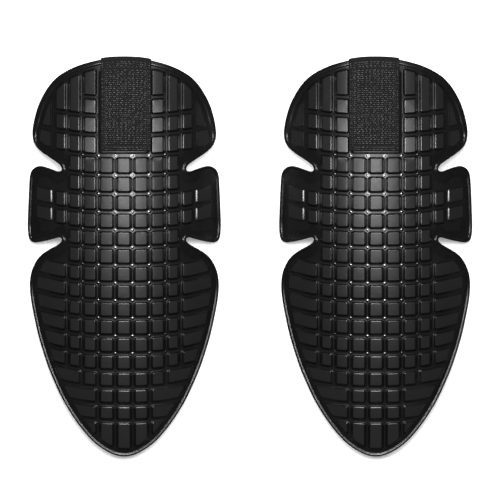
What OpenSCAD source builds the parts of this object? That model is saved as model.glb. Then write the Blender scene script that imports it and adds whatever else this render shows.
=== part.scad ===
// A pair of flexible knee guards: insert armour for riding trousers.
// Each guard is an arched moulding with a grid of raised blocks, lying with its rim down.
// X runs across the pair, Y along the guards (thigh end +Y, shin tip -Y), Z up.
// A guard is drawn once, with +x towards its partner, and mirrored for the other leg.

/* [Guard] */
// Length of one guard, from the thigh edge to the shin tip
guard_len = 300; // [270:1:330]
// Width of one guard, over the wings
guard_w = 145.6; // [131:0.2:160]
// Distance between the long centrelines of the two guards
pair_pitch = 189.4; // [180:0.2:240]
// Radius of the arch across the guard, on top of the blocks
arch_r = 92; // [88:1:110]
// Radius of the bend along the guard, on top of the blocks
bend_r = 620; // [450:10:1200]
// Place of the highest point along the length
crown_y = 35; // [0:1:70]

/* [Layers] */
// Height of the raised blocks
block_h = 2.0; // [1:0.1:3]
// Thickness of the moulded shell under the blocks
shell_t = 2.5; // [1.5:0.1:4]
// Thickness of the impact foam core
foam_t = 7.0; // [4:0.5:12]
// Thickness of the knitted lining
lining_t = 1.0; // [0.6:0.1:2]
// Width of the thin shell rim outside the foam core
foam_inset = 9.5; // [8:0.5:14]
// Distance from the outline to the lining's edge
lining_inset = 12; // [10:0.5:16]

/* [Blocks] */
// Width of the grooves between the blocks
groove_w = 4.2; // [2:0.1:6]
// Distance from the outline to the field of blocks
field_inset = 4.6; // [3:0.1:8]
// How far the rows rise towards the sides, at bow_at from the centreline
row_bow = 6.7; // [0:0.1:10]
// Distance from the centreline where the rows have risen by row_bow
bow_at = 61.4; // [50:0.2:70]

/* [Hook strip] */
// Width of the hook tape
strip_w = 38; // [20:1:50]
// Thickness of the hook tape
strip_t = 1.6; // [1:0.1:3]
// Where the tape ends on the front face
strip_end_y = 79; // [60:1:120]
// How far the tape is set towards the other guard
strip_shift = 1.5; // [-3:0.1:3]
// Length of one stitch
stitch_len = 2.2; // [1:0.1:4]
// Distance from one stitch to the next
stitch_pitch = 3.2; // [2:0.1:6]
// Distance from the tape's edge to the seam
seam_inset = 2.2; // [1:0.1:5]

/* [Flex lines] */
// Where the thigh end flexes on the knee section
thigh_flex_y = 62.5; // [58:0.5:66]
// Where the shin end flexes on the knee section
shin_flex_y = 8.3; // [5:0.1:12]
// Distance from the centreline to where each wing flexes
wing_flex_x = 43.5; // [42:0.5:46]
// Depth of the thigh and shin flex axes under the crown
flex_depth = 9; // [7:0.5:11]
// Room for the ends to curl round the knee, in degrees
curl_room = 23; // [10:1:30]
// Room for the ends to open out flat, in degrees
open_room = 12; // [6:1:16]
// Room for a wing to flex each way, in degrees
wing_room = 15; // [6:1:20]
// Clear gap left along each flex axis
flex_gap = 0.4; // [0.2:0.1:1]

/* [Hidden] */

SHELL_BLACK = [0.07, 0.07, 0.075];
FOAM_GREY = [0.22, 0.22, 0.23];
LINING_BLACK = [0.12, 0.12, 0.13];
HOOK_BLACK = [0.03, 0.03, 0.032];
THREAD_BLACK = [0.16, 0.16, 0.17];

// The outline's points are for a guard of this size, and scale with guard_len and guard_w.
BASE_LEN = 300;
BASE_W = 145.6;
len_k = guard_len / BASE_LEN;
wid_k = guard_w / BASE_W;
function at(x, y) = [x * wid_k, y * len_k];

// Depths of the layers' faces under the top of the blocks
shell_top = block_h;
shell_back = shell_top + shell_t;
foam_back = shell_back + foam_t;
lining_back = foam_back + lining_t;

// The guard's faces are parts of rings: the arch's circle swept along the bend.
ring_r = bend_r - arch_r;
// Height of the face at depth t under the top, counted from the crown
function face_z(x, y, t) =
    sqrt(pow(ring_r + sqrt(pow(arch_r - t, 2) - x * x), 2) - pow(y - crown_y, 2)) - bend_r;

// A smooth run through points; the first and the last only steer its ends
function smooth_run(p, n) = [
    for (i = [1:len(p) - 3], s = [0:n - 1])
        let (a = p[i - 1], b = p[i], c = p[i + 1], d = p[i + 2], t = s / n)
        (2 * b + (c - a) * t + (2 * a - 5 * b + 4 * c - d) * t * t
            + (3 * b - a - 3 * c + d) * t * t * t) / 2
];

// The notches reach just past the lines where the wings flex.
NOTCH_TIPS = [at(42.7, 64.2), at(42.7, 12.8)];
// Half outline, from the middle of the thigh edge down the +x side to the shin tip
thigh_side = smooth_run([
    at(-14.7, 149.1), at(0, 149.9), at(14.7, 149.1), at(28.5, 146.1), at(41, 141.6),
    at(52.3, 134.1), at(60.2, 123.6), at(66.3, 110), at(69.3, 96), at(67.2, 85.4),
    at(60.5, 78), at(50.5, 71), at(43, 66)
], 3);
wing_side = [
    at(47, 67.4), NOTCH_TIPS[0], at(47, 62.6), at(63, 67.6), at(67.6, 68), at(70.6, 65.6),
    at(71.6, 61), at(72.8, 18), at(72.2, 13.6), at(69, 11.2), at(64, 11.4), at(47.5, 14.4),
    NOTCH_TIPS[1]
];
shin_side = smooth_run([
    at(42, 15), at(47.9, 10.8), at(57, 4.7), at(65, -1.5), at(70, -10), at(71.2, -21),
    at(69.6, -37), at(65.8, -55), at(59.5, -76), at(50.7, -98), at(41.5, -116),
    at(30.6, -130.6), at(19.3, -142.7), at(8, -148.4), at(0, -149.9), at(-8, -148.4)
], 3);
half_outline = concat(thigh_side, wing_side, shin_side);
outline = concat(
    half_outline,
    [at(0, -149.9)],
    [for (i = [len(half_outline) - 1:-1:1]) [-half_outline[i][0], half_outline[i][1]]]
);

// The pair rests on the lowest points of the shells' rims.
rim_low = min([for (p = outline) face_z(p[0], p[1], shell_back)]);
rest_z = -rim_low;

// Lines of the grooves on the centreline, from the thigh end down
row_lines = [
    119.6, 105.8, 91.4, 76.0, 61.5, 47.5, 33.8, 20.4, 7.3, -6.2,
    -19.6, -32.7, -46.0, -59.4, -72.6, -85.6, -98.4, -110.9, -123.3
];
ROW_TOP = 152;
ROW_TIP = -143.5;
lines = concat([ROW_TOP], row_lines, [ROW_TIP]);
// Lines of the grooves beside the centreline, and the edge of the wings' blocks
col_lines = [6.6, 19.5, 31.6, 42.6, 53.1, 68];
BOW_POWER = 2.45;
function bow(x) = row_bow * pow(abs(x) / bow_at, BOW_POWER);
function row_y(i, x) = lines[i] + bow(x);

// How the field is filled: [first line, last line, first column line, last column line],
// where column line -1 is the mirror of column line 0
MIDDLE = -1;
cells = concat(
    // beside the hook strip
    [[0, 1, 1, 2], [1, 2, 1, 2], [2, 3, 1, 2], [3, 4, 1, 2]],
    [for (c = [2, 3]) each [[0, 2, c, c + 1], [2, 3, c, c + 1], [3, 4, c, c + 1]]],
    [[0, 3, 4, 5], [3, 4, 4, 5]],
    // the middle columns
    [for (r = [4:15], c = [0:2]) [r, r + 1, c, c + 1]],
    [for (c = [0, 1]) [16, 17, c, c + 1]],
    [for (r = [17:19]) [r, r + 1, 0, 1]],
    [for (r = [4:19]) [r, r + 1, MIDDLE, 0]],
    // the wings
    [for (r = [6, 7], c = [3, 4]) [r, r + 1, c, c + 1]],
    // the bars beside the middle columns
    [for (r = [10:15]) [r, r + 1, 3, 5]],
    [[16, 17, 2, 4], [17, 18, 1, 3], [18, 19, 1, 3], [19, 20, 1, 2]]
);
function col_x(c) = c == MIDDLE ? -col_lines[0] : col_lines[c];

OUT = 200;
EPS = 0.01;
BACK_OVERLAP = 0.8;
RING_SWEEP = 40;
FINE = 180;

// ---- shared shapes -------------------------------------------------------------

module outline_2d() {
    polygon(outline);
}

// One raised block in plan, clear of the groove lines by half a groove
module cell_2d(cell) {
    x0 = col_x(cell[2]) + groove_w / 2;
    x1 = col_x(cell[3]) - groove_w / 2;
    half_row = groove_w / 2 - 0.1;
    polygon([
        at(x0, row_y(cell[1], x0) + half_row),
        at(x1, row_y(cell[1], x1) + half_row),
        at(x1, row_y(cell[0], x1) - half_row),
        at(x0, row_y(cell[0], x0) - half_row)
    ]);
}

module field_2d() {
    intersection() {
        offset(delta = -field_inset) outline_2d();
        union() {
            for (cell = cells) {
                cell_2d(cell);
                if (cell[2] != MIDDLE) mirror([1, 0]) cell_2d(cell);
            }
        }
    }
}

module upright() {
    translate([0, 0, -OUT]) linear_extrude(2 * OUT) children();
}

// The space between two depths under the top of the blocks
module layer(from, to) {
    translate([0, crown_y, rest_z - bend_r])
        rotate([0, 90, 0])
            rotate([0, 0, 180 - RING_SWEEP / 2])
                rotate_extrude(angle = RING_SWEEP, $fn = 4 * FINE)
                    translate([ring_r, 0]) {
                        intersection() {
                            difference() {
                                circle(arch_r - from, $fn = FINE);
                                circle(arch_r - to, $fn = FINE);
                            }
                            translate([0, -OUT / 2]) square([OUT, OUT]);
                        }
                    }
}

// ---- the sections that flex ----------------------------------------------------

function crown_axis_z(y) = rest_z + face_z(0, y, 0) - flex_depth;
wing_axis_depth = (shell_top + lining_back) / 2;
wing_y = (thigh_flex_y + shin_flex_y) / 2;
wing_axis_z = rest_z + face_z(wing_flex_x, wing_y, wing_axis_depth);
wing_lean = asin(wing_flex_x / (arch_r - wing_axis_depth));
FAR = 90;

// A slab along X whose end at axis y opens away from the axis, above and below it
module end_slab(y, side) {
    z = crown_axis_z(y);
    edge = y + side * flex_gap / 2;
    rotate([90, 0, 90]) translate([0, 0, -OUT / 2]) linear_extrude(OUT) polygon([
        [edge, z],
        [edge + side * FAR * tan(open_room / 2), z + FAR],
        [y + side * 2 * OUT, z + FAR],
        [y + side * 2 * OUT, z - FAR],
        [edge + side * FAR * tan(curl_room / 2), z - FAR]
    ]);
}

// A slab along Y, outside (side 1) or inside (side -1) the +x wing's flex axis
module wing_slab(side) {
    room = wing_room / 2 * side;
    edge = wing_flex_x + side * flex_gap / 2;
    rotate([90, 0, 0]) translate([0, 0, -OUT]) linear_extrude(2 * OUT) polygon([
        [edge, wing_axis_z],
        [edge + FAR * tan(wing_lean + room), wing_axis_z + FAR],
        [edge + side * 2 * OUT, wing_axis_z + FAR],
        [edge + side * 2 * OUT, wing_axis_z - FAR],
        [edge - FAR * tan(wing_lean - room), wing_axis_z - FAR]
    ]);
}

// The plan of the wings, out to the middle of each notch
module wing_plan_2d() {
    polygon([
        [wing_flex_x - 1, NOTCH_TIPS[1][1]], NOTCH_TIPS[1], at(47, 12.7), at(FAR, 4),
        at(FAR, 82), at(47, 65), NOTCH_TIPS[0], [wing_flex_x - 1, NOTCH_TIPS[0][1]]
    ]);
}

module thigh_zone() {
    difference() {
        intersection() {
            children();
            end_slab(thigh_flex_y, 1);
        }
        upright() wing_plan_2d();
        mirror([1, 0, 0]) upright() wing_plan_2d();
    }
}

module shin_zone() {
    intersection() {
        children();
        end_slab(shin_flex_y, -1);
    }
}

module between_ends() {
    intersection() {
        children();
        end_slab(thigh_flex_y, -1);
        end_slab(shin_flex_y, 1);
    }
}

module knee_zone() {
    intersection() {
        between_ends() children();
        wing_slab(-1);
        mirror([1, 0, 0]) wing_slab(-1);
    }
}

module wing_zone() {
    intersection() {
        children();
        wing_slab(1);
        upright() wing_plan_2d();
    }
}

// ---- the layers of one guard ---------------------------------------------------

module shell() {
    intersection() {
        layer(shell_top, shell_back);
        upright() outline_2d();
    }
    intersection() {
        layer(0, shell_top + BACK_OVERLAP);
        upright() field_2d();
    }
}

module foam() {
    intersection() {
        layer(shell_back, foam_back);
        upright() offset(delta = -foam_inset) outline_2d();
    }
}

module lining() {
    intersection() {
        layer(foam_back, lining_back);
        upright() offset(delta = -lining_inset) outline_2d();
    }
}

// ---- the hook strip and its seam -----------------------------------------------

strip_front = block_h - strip_t;
strip_rear = shell_back + strip_t;

module strip_2d(past) {
    intersection() {
        translate([strip_shift - strip_w / 2, strip_end_y * len_k]) square([strip_w, OUT]);
        translate([0, past]) outline_2d();
    }
}

// The tape lies on the front, folds over the thigh edge and ends on the back of the rim.
module hook_strip() {
    tuck = foam_inset - 1;
    difference() {
        intersection() {
            layer(strip_front, strip_rear);
            upright() strip_2d(strip_t);
        }
        intersection() {
            layer(shell_top, shell_back);
            upright() outline_2d();
        }
        intersection() {
            layer(shell_back - EPS, OUT / 4);
            upright() translate([0, -tuck]) outline_2d();
        }
    }
}

seam_x = strip_w / 2 - seam_inset;
seam_low = strip_end_y + seam_inset + 0.8;
seam_high = 142.6;
STITCH_W = 0.7;
STITCH_H = 0.5;

// One stitch on the strip's face; turned gives it along X
module stitch(x, y, turned) {
    slope = turned ? 0 : atan((y - crown_y) / bend_r);
    lean = turned ? asin(x / arch_r) : 0;
    size = turned ? [stitch_len, STITCH_W, STITCH_H] : [STITCH_W, stitch_len, STITCH_H];
    translate([x, y * len_k, rest_z + face_z(x, y * len_k, strip_front)])
        rotate([-slope, lean, 0])
            translate([0, 0, STITCH_H / 2]) cube(size, center = true);
}

module strip_stitching() {
    across = 2 * seam_x;
    columns = floor(across / stitch_pitch);
    rows = floor((seam_high - seam_low) / stitch_pitch);
    for (side = [-1, 1], i = [0:rows])
        stitch(strip_shift + side * seam_x, seam_low + i * (seam_high - seam_low) / rows, false);
    for (y = [seam_low, seam_high], i = [1:columns - 1])
        stitch(strip_shift - seam_x + i * across / columns, y, true);
}

// ---- the two guards ------------------------------------------------------------

// Half the tape's thickness sets the pair's ends equally far from the origin.
module left() {
    translate([-pair_pitch / 2, -strip_t / 2, 0]) children();
}

module right() {
    mirror([1, 0, 0]) left() children();
}

module knee_shell() { color(SHELL_BLACK) knee_zone() shell(); }
module knee_foam() { color(FOAM_GREY) knee_zone() foam(); }
module knee_lining() { color(LINING_BLACK) knee_zone() lining(); }
module thigh_shell() { color(SHELL_BLACK) thigh_zone() shell(); }
module thigh_foam() { color(FOAM_GREY) thigh_zone() foam(); }
module thigh_lining() { color(LINING_BLACK) thigh_zone() lining(); }
module shin_shell() { color(SHELL_BLACK) shin_zone() shell(); }
module shin_foam() { color(FOAM_GREY) shin_zone() foam(); }
module shin_lining() { color(LINING_BLACK) shin_zone() lining(); }
module inner_wing_shell() { color(SHELL_BLACK) wing_zone() shell(); }
module inner_wing_foam() { color(FOAM_GREY) wing_zone() foam(); }
module inner_wing_lining() { color(LINING_BLACK) wing_zone() lining(); }
module outer_wing_shell() { mirror([1, 0, 0]) inner_wing_shell(); }
module outer_wing_foam() { mirror([1, 0, 0]) inner_wing_foam(); }
module outer_wing_lining() { mirror([1, 0, 0]) inner_wing_lining(); }
module strip() { color(HOOK_BLACK) hook_strip(); }
module stitching() { color(THREAD_BLACK) strip_stitching(); }

left() knee_shell();  // left_knee_shell
left() knee_foam();  // left_knee_foam
left() knee_lining();  // left_knee_lining
left() thigh_shell();  // left_thigh_shell
left() thigh_foam();  // left_thigh_foam
left() thigh_lining();  // left_thigh_lining
left() shin_shell();  // left_shin_shell
left() shin_foam();  // left_shin_foam
left() shin_lining();  // left_shin_lining
left() outer_wing_shell();  // left_outer_wing_shell
left() outer_wing_foam();  // left_outer_wing_foam
left() outer_wing_lining();  // left_outer_wing_lining
left() inner_wing_shell();  // left_inner_wing_shell
left() inner_wing_foam();  // left_inner_wing_foam
left() inner_wing_lining();  // left_inner_wing_lining
left() strip();  // left_hook_strip
left() stitching();  // left_strip_stitching
right() knee_shell();  // right_knee_shell
right() knee_foam();  // right_knee_foam
right() knee_lining();  // right_knee_lining
right() thigh_shell();  // right_thigh_shell
right() thigh_foam();  // right_thigh_foam
right() thigh_lining();  // right_thigh_lining
right() shin_shell();  // right_shin_shell
right() shin_foam();  // right_shin_foam
right() shin_lining();  // right_shin_lining
right() outer_wing_shell();  // right_outer_wing_shell
right() outer_wing_foam();  // right_outer_wing_foam
right() outer_wing_lining();  // right_outer_wing_lining
right() inner_wing_shell();  // right_inner_wing_shell
right() inner_wing_foam();  // right_inner_wing_foam
right() inner_wing_lining();  // right_inner_wing_lining
right() strip();  // right_hook_strip
right() stitching();  // right_strip_stitching
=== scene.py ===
import math
import random

import bpy
import numpy as np
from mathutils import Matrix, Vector, geometry


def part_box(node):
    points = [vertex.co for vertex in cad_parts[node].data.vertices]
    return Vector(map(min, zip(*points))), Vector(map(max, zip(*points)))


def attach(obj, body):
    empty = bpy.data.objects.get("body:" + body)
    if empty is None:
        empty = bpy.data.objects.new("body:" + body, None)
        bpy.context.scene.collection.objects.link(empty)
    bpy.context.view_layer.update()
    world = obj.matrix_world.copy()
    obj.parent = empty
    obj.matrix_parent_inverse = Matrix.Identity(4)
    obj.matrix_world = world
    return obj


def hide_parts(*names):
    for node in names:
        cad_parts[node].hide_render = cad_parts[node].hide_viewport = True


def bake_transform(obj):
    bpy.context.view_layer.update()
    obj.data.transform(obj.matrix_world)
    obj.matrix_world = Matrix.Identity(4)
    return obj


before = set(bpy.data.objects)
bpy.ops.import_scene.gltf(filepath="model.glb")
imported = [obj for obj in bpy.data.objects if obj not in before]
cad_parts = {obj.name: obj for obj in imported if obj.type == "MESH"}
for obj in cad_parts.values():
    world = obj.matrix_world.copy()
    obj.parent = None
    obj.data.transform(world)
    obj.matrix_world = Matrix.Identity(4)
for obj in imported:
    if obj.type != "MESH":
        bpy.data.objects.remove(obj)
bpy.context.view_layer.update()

# A pair of knee guards. A guard is built once in millimetres, in its own plan:
# x towards its partner, y towards the thigh end, and a depth under the top of its blocks.
# Then it is put where each CAD guard is, mirrored for the right one.

MM = 0.001
SIDES = {"left": 1, "right": -1}  # which way x runs for each guard

# ---- the guard's driving sizes ---------------------------------------------------

ARCH_R = 92.0  # radius of the arch across the guard
BEND_R = 620.0  # radius of the bend along it
CROWN_Y = 35.0
DROOP_Y = 104.0  # from here to the thigh edge the bend tightens
THIGH_DROOP = 0.0010
BLOCK_H = 2.0
SHELL_BACK = 4.5  # depth of the shell's back
FOAM_BACK = 11.5
LINING_BACK = 12.4
TIP_Y = -149.9

GROOVE_X = 2.05  # from a column's groove line to the flat top of a block
GROOVE_Y = 1.9  # the same across a row's groove
CORNER_R = 1.0
ROW_LINES = [
    119.6, 105.8, 91.4, 76.0, 61.5, 47.5, 33.8, 20.4, 7.3, -6.2,
    -19.6, -32.7, -46.0, -59.4, -72.6, -85.6, -98.4, -110.9, -123.3,
]
LINES = [152.0, *ROW_LINES, -143.8]
COLS = [6.6, 19.5, 31.6, 42.6, 53.1, 68.0]
ROW_BOW, BOW_AT, BOW_POWER = 6.7, 61.4, 2.45
WING_X = COLS[3]
CENTRE_CUT = 7  # the row line where the upper and lower mouldings meet
PIP_R = 1.15  # low domes where the grooves cross
PIP_H = 0.2
PIP_PROFILE = [(PIP_R, 0.0), (1.0, 0.05), (0.75, 0.117), (0.4, 0.177)]  # radius, height
PIP_SIDES = 10
PIP_LINES = range(4, 16)

# Half outline: the smooth run from the thigh edge round the +x side to the shin tip
OUTLINE_RUN = [
    (-14.7, 149.1), (0, 149.9), (14.7, 149.1), (28.5, 146.1), (37.3, 143.1),
    (44.1, 139.8), (50.6, 135.5), (55.9, 130), (60.2, 123.6), (64.1, 116), (67.1, 107),
    (68.9, 98), (69.2, 92.5), (68.3, 87.3), (65.6, 82.6), (60.6, 78.2), (53.5, 73.4),
    (48.8, 70.0), (47.2, 67.9), (46.7, 66.1), (47.5, 64.8), (50.0, 64.7), (54, 66.2),
    (58.5, 67.8), (62.5, 68.8), (66.2, 68.3), (69.3, 66.0), (70.9, 62.6), (71.5, 57),
    (72.1, 45), (72.6, 32), (72.8, 24), (72.3, 16.8), (70.9, 12.9), (68.0, 11.3),
    (64, 11.5), (57, 12.8), (51.2, 14.4), (48.5, 15.0), (47.0, 14.4), (46.7, 13.0),
    (47.6, 11.3), (50.6, 9.0), (56.2, 6.0), (61.4, 2.6), (65.4, -1.4), (68.3, -6.5),
    (70.3, -12), (71.2, -19), (71.0, -26), (70, -34), (67.7, -46), (65, -58),
    (61.5, -70), (57.3, -82.5), (52.3, -94.5), (46.6, -106.6), (39.9, -118),
    (33, -127.8), (25.5, -136.6), (19.3, -142.0), (13, -146.1), (6.6, -148.9),
    (0, TIP_Y), (-6.6, -148.9),
]
NOTCH_TIPS = [(46.7, 66.0), (46.7, 13.2)]
OUTLINE_STEP = 1.5

# Half outline of the foam core, about 9.5 mm inside the guard's
FOAM_RUN = [
    (-14, 139.4), (0, 140.3), (14, 139.4), (27, 136.4), (38, 131.6), (46.6, 124.6),
    (53.2, 115.4), (57.6, 105), (59.3, 96), (58.2, 90.6), (53.5, 86.6), (45, 81.2),
    (38.6, 76.2), (36.0, 70), (35.6, 63), (38.5, 57.4), (44, 55.0), (52, 56.8),
    (58.5, 58.6), (61.6, 56.4), (62.4, 50), (62.8, 36), (62.8, 27), (61.0, 22.4),
    (56, 22.4), (47, 24.4), (39.5, 23.4), (35.8, 18), (35.6, 9), (39, 3.4), (46, 0.2),
    (53.6, -4.0), (59.2, -10.6), (61.4, -19), (61.0, -28), (58.4, -44), (54.8, -60),
    (49.5, -76), (42.8, -92), (34.6, -107.6), (24.6, -122.4), (15, -133.4),
    (7.2, -139.0), (0, -140.4), (-7.2, -139.0),
]
FOAM_STEP = 2.4

# Hook tape
TAPE_W = 38.0
TAPE_T = 1.3
TAPE_SHIFT = 1.5  # how far it is off the guard's middle
TAPE_END_Y = 79.6
TAPE_TUCK = 8.0  # how far its tail reaches behind the thigh edge
FRONT_POINTS = 46  # points along its front, before the fold
FOLD_START, FOLD_CENTRE, FOLD_LEVEL = 1.2, 0.75, 0.8  # short of the thigh edge
FOLD_REACH = 1.35
EDGE_THIN = 0.45  # thickness at its edges, as a share

# The shell's flat pad under the tape: low edge, and high edge with its bow
PAD_H = 0.8
PAD_LOW_Y = ROW_LINES[3] + GROOVE_Y + 0.7
PAD_TOP_Y, PAD_TOP_BOW = 140.6, 0.0046

# Stitching
SEAM_INSET = 2.9
SEAM_LOW_Y = TAPE_END_Y + SEAM_INSET + 0.8
SEAM_TOP_Y = 142.6
STITCH_LEN = 2.3
STITCH_PITCH = 3.2
STITCH_R = 0.24
STITCH_SINK, STITCH_RISE = 0.22, 0.34

# ---- shared maths ----------------------------------------------------------------

RING_R = BEND_R - ARCH_R


def face_z(x, y, t):
    """Height of the face at depth t, counted from the crown; the thigh end droops more."""
    across = np.sqrt((ARCH_R - t) ** 2 - np.square(x))
    droop = THIGH_DROOP * np.square(np.maximum(0, y - DROOP_Y))
    return np.sqrt(np.square(RING_R + across) - np.square(y - CROWN_Y)) - BEND_R - droop


def smooth_step(v, low, high):
    u = np.clip((v - low) / (high - low), 0, 1)
    return u * u * (3 - 2 * u)


def bow(x, y=0.0):
    """How far a row line has risen at x; the lowest rows rise more."""
    more = 1 + 0.5 * np.clip((-40 - y) / 80, 0, 1)
    return ROW_BOW * more * np.power(np.abs(x) / BOW_AT, BOW_POWER)


def row_y(i, x):
    return LINES[i] + bow(x, LINES[i])


FOOT_CROSS_Y = float(row_y(CENTRE_CUT, WING_X))  # where the middle cut meets a wing's foot


def smooth_run(points, step):
    """A Catmull-Rom curve through points, evened out; the end points only steer it."""
    p = np.array(points, float)
    fine = []
    t = np.linspace(0, 1, 16, endpoint=False)[:, None]
    for a, b, c, d in zip(p, p[1:], p[2:], p[3:]):
        cubic = (2 * a - 5 * b + 4 * c - d) * t**2 + (3 * b - a - 3 * c + d) * t**3
        fine.append((2 * b + (c - a) * t + cubic) / 2)
    fine = np.concatenate([*fine, p[-2:-1]])
    along = np.concatenate([[0], np.cumsum(np.linalg.norm(np.diff(fine, axis=0), axis=1))])
    at = np.linspace(0, along[-1], round(along[-1] / step) + 1)
    return np.stack([np.interp(at, along, fine[:, k]) for k in (0, 1)], axis=1)


def both_halves(half):
    """The closed loop, anticlockwise, from the half on the +x side going down."""
    other = half[1:-1] * [-1, 1]
    return np.concatenate([other, half[::-1]])


def loop_normals(loop):
    """Outward normals in plan of an anticlockwise loop."""
    along = np.roll(loop, -1, axis=0) - np.roll(loop, 1, axis=0)
    along /= np.linalg.norm(along, axis=1)[:, None]
    return np.stack([along[:, 1], -along[:, 0]], axis=1)


def inside(points, polygon):
    """Which points are inside a closed polygon."""
    x, y = np.asarray(points, float).reshape(-1, 2).T
    hit = np.zeros(len(x), bool)
    px, py = np.asarray(polygon, float).T
    for x0, y0, x1, y1 in zip(px, py, np.roll(px, -1), np.roll(py, -1)):
        if y0 != y1:
            crosses = (y0 > y) != (y1 > y)
            hit ^= crosses & (x < (x1 - x0) * (y - y0) / (y1 - y0) + x0)
    return hit


def far_from(points, others, gap):
    """Which points are at least gap away from all the others."""
    points, others = np.asarray(points), np.asarray(others)
    keep = np.ones(len(points), bool)
    for i in range(0, len(points), 512):
        d = np.linalg.norm(points[i : i + 512, None] - others[None], axis=2)
        keep[i : i + 512] = d.min(axis=1) > gap
    return keep


# ---- a mesh in the guard's plan --------------------------------------------------


class Shape:
    """Points as (x, y, depth) with a grain mask, and faces, in millimetres."""

    def __init__(self):
        self.points, self.grain, self.faces = [], [], []

    def add(self, xy, depth, grain=0.0):
        """Adds points and returns their numbers."""
        xy = np.asarray(xy, float)
        first = len(self.points)
        depth = np.broadcast_to(depth, len(xy))
        grain = np.broadcast_to(grain, len(xy))
        self.points += [(x, y, t) for (x, y), t in zip(xy, depth)]
        self.grain += list(grain)
        return list(range(first, first + len(xy)))

    def face(self, corners):
        self.faces.append(tuple(corners))

    def band(self, outer, inner):
        """Joins two closed rings of the same count; outer is outside or below."""
        n = len(outer)
        for i in range(n):
            j = (i + 1) % n
            self.face((outer[i], outer[j], inner[j], inner[i]))

    def fill(self, loop, holes, cuts, spacing, depth, grain=0.0, flip=False):
        """Fills inside a ring and outside the holes, with points on a grid of spacing.

        loop and the holes are lists of point numbers; cuts are lists of points in plan
        or point numbers that the faces keep as edges. depth is a number or f(x, y)."""
        rings = [loop, *holes]
        known = [i for r in rings for i in r]
        paths = []
        for cut in cuts:
            numbers = [c if isinstance(c, int) else self.add_at(c, depth, grain) for c in cut]
            paths.append(numbers)
            known += [i for i in numbers if i not in known]
        all_xy = np.array([p[:2] for p in self.points])
        edge = all_xy[known]
        low, high = all_xy[loop].min(axis=0), all_xy[loop].max(axis=0)
        gx, gy = (np.arange(a + spacing / 2, b, spacing) for a, b in zip(low, high))
        grid = np.array([(x, y) for y in gy for x in gx]).reshape(-1, 2)
        if len(grid):
            ok = inside(grid, all_xy[loop])
            for h in holes:
                ok &= ~inside(grid, all_xy[h])
            grid = grid[ok]
        if len(grid):
            grid = grid[far_from(grid, edge, spacing * 0.55)]
        if len(grid):
            t = depth(grid[:, 0], grid[:, 1]) if callable(depth) else depth
            known += self.add(grid, t, grain)
        all_xy = np.array([p[:2] for p in self.points])
        place = {n: i for i, n in enumerate(known)}
        edges = [(place[a], place[b]) for p in paths for a, b in zip(p, p[1:])]
        faces = [[place[i] for i in r] for r in rings]
        out = geometry.delaunay_2d_cdt(
            [Vector(all_xy[i]) for i in known], edges, faces, 1, 1e-5)
        _, _, triangles, sources, _, origins = out
        for tri, origin in zip(triangles, origins):
            if list(origin) != [0]:
                continue
            corners = [known[sources[i][0]] for i in tri]
            a, b, c = (all_xy[i] for i in corners)
            turn = (b[0] - a[0]) * (c[1] - a[1]) - (b[1] - a[1]) * (c[0] - a[0])
            if (turn < 0) != flip:
                corners.reverse()
            self.face(corners)

    def add_at(self, place, depth, grain):
        t = float(depth(place[0], place[1])) if callable(depth) else depth
        return self.add([place], t, grain)[0]


# ---- the guard's plan ------------------------------------------------------------

outline = both_halves(smooth_run(OUTLINE_RUN, OUTLINE_STEP))
outline_out = loop_normals(outline)
foam_line = both_halves(smooth_run(FOAM_RUN, FOAM_STEP))
foam_out = loop_normals(foam_line)


def bead_width(p):
    """Width of the raised bead at the rim: broad round the thigh lobe and the notch ends."""
    x, y = p[:, 0], p[:, 1]
    wide = 1.9 + 2.1 * smooth_step(y, 84, 104)
    for nx, ny in NOTCH_TIPS:
        far = np.hypot(np.abs(x) - nx, y - ny)
        wide = wide + 0.5 * np.exp(-np.square(far / 6))
    return wide


def nearest(loop, place):
    return int(np.argmin(np.linalg.norm(loop - place, axis=1)))


def foot_stops(ys):
    """Stops down the foot of a wing, one of them where the middle cut meets it."""
    return np.sort(np.append(ys[np.abs(ys - FOOT_CROSS_Y) > 1.2], FOOT_CROSS_Y))[::-1]


def centre_line(x):
    """Where the upper and lower mouldings meet; it passes below the pips on its row."""
    dip = max((PIP_R**2 - (abs(x) - c) ** 2 for c in COLS[:3]), default=0)
    return row_y(CENTRE_CUT, x) - math.sqrt(max(0, dip))


def centre_path(pips=()):
    """The cut between the upper and lower mouldings, without its ends.

    pips are (x, point numbers from left to right round the pip's lower side)."""
    xs = [x for x in np.linspace(-WING_X, WING_X, 33)[1:-1]
          if all(abs(x - c) > PIP_R + 0.4 for c, _ in pips)]
    stops = [(x, [(float(x), float(row_y(CENTRE_CUT, x)))]) for x in xs] + list(pips)
    return [p for _, places in sorted(stops, key=lambda stop: stop[0]) for p in places]


NOTCH_SLOPES = {"low": -0.2, "high": 0.45}  # how the notches' middles run on from their tips
tip_of = {(side_x, name): nearest(outline, (side_x * nx, ny))
          for side_x in (1, -1) for name, (nx, ny) in zip(("high", "low"), NOTCH_TIPS)}


def section(x, y):
    """Which part of the guard a place in plan belongs to."""
    ax = abs(x)
    side_x = 1 if x > 0 else -1
    if ax > WING_X:
        ends = []
        for name, slope in NOTCH_SLOPES.items():
            i = tip_of[side_x, name]
            (px, py), (nx, ny) = outline[i], outline_out[i]
            past = ax - abs(px)
            ends.append(py + past * (ny / abs(nx) if past < 0 else slope))
        if ends[0] < y < ends[1]:
            return "inner_wing" if x > 0 else "outer_wing"
    return "upper" if y > centre_line(x) else "lower"


# ---- the moulding: blocks --------------------------------------------------------

MIDDLE = -1


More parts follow.
